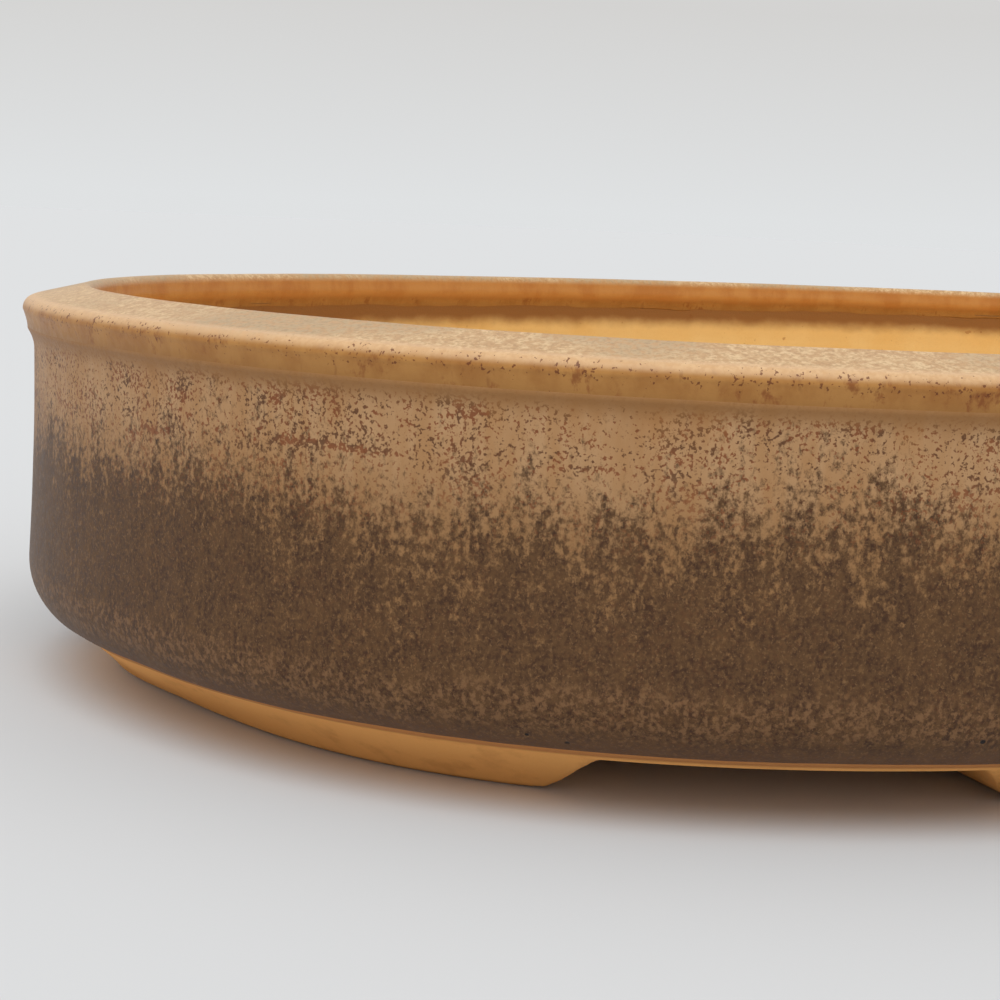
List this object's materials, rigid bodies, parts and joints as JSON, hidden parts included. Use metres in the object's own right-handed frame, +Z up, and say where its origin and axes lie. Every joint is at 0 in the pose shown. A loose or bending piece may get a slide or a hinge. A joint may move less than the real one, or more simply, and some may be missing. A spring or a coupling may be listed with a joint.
{
  "type": "bonsai pot",
  "caption": "Shallow oval stoneware bonsai pot with a proud sloping rim, a drip glaze outside, a bare clay inside, drainage holes and low strip feet.",
  "frame": {"origin": "middle of the footprint, on the surface the feet stand on", "axes": "+X along the long axis of the oval, +Y along its short axis, +Z up"},
  "size_m": [0.33, 0.23, 0.058],
  "materials": {
    "bare_clay": "matt fired ochre stoneware",
    "wall_glaze": "satin drip glaze, tan and speckled above, grey brown below",
    "rim_glaze": "satin honey beige glaze"
  },
  "bodies": {
    "root": {"floor_slab": "bare_clay", "wall": "bare_clay", "rim_coil": "bare_clay", "wall_glaze": "wall_glaze", "rim_glaze": "rim_glaze", "foot_left": "bare_clay", "foot_right": "bare_clay", "foot_front": "bare_clay", "foot_back": "bare_clay"}
  },
  "joints": []
}
